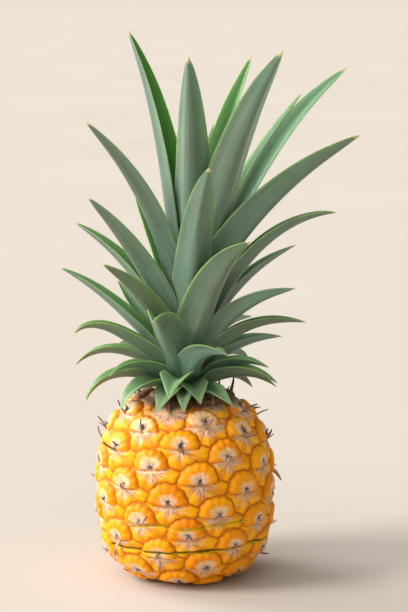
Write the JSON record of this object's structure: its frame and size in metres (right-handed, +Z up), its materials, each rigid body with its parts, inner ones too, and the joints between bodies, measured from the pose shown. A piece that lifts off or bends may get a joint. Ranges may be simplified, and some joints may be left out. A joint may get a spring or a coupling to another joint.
{
  "type": "pineapple",
  "caption": "Small ripe pineapple standing upright: a barrel-shaped fruit covered in spiralling orange eyes, under a crown of stiff, pointed, grey-green leaves.",
  "frame": {"origin": "centre of the cut stalk's face under the fruit, on the surface that the fruit stands on", "axes": "+Z up the fruit's own axis from the cut stalk to the crown, -Y towards the front, +X to the right seen from the front"},
  "size_m": [0.1504, 0.1191, 0.2836],
  "materials": {
    "rind": "waxy, uneven ripe rind, golden orange with tan papery bracts",
    "stalk": "dry, fibrous cut face",
    "leaf": "stiff leaf, silvery grey-green outside, deep green inside"
  },
  "bodies": {
    "root": {"fruit": "rind", "cut_stalk": "stalk", "crown_stem": "leaf", "leaf_01": "leaf", "leaf_02": "leaf", "leaf_03": "leaf", "leaf_04": "leaf", "leaf_05": "leaf", "leaf_06": "leaf", "leaf_07": "leaf", "leaf_08": "leaf", "leaf_09": "leaf", "leaf_10": "leaf", "leaf_11": "leaf", "leaf_12": "leaf", "leaf_13": "leaf", "leaf_14": "leaf", "leaf_15": "leaf", "leaf_16": "leaf", "leaf_17": "leaf", "leaf_18": "leaf", "leaf_19": "leaf", "leaf_20": "leaf", "leaf_21": "leaf", "leaf_22": "leaf", "leaf_23": "leaf", "leaf_24": "leaf", "leaf_25": "leaf", "leaf_26": "leaf", "leaf_27": "leaf", "leaf_28": "leaf", "leaf_29": "leaf", "leaf_30": "leaf", "leaf_31": "leaf", "leaf_32": "leaf", "leaf_33": "leaf", "leaf_34": "leaf", "leaf_35": "leaf", "leaf_36": "leaf", "leaf_37": "leaf", "leaf_38": "leaf", "leaf_39": "leaf", "leaf_40": "leaf", "leaf_41": "leaf", "leaf_42": "leaf", "leaf_43": "leaf", "leaf_44": "leaf", "leaf_45": "leaf", "leaf_46": "leaf", "leaf_47": "leaf", "leaf_48": "leaf", "leaf_49": "leaf", "leaf_50": "leaf", "leaf_51": "leaf", "leaf_52": "leaf"}
  },
  "joints": []
}
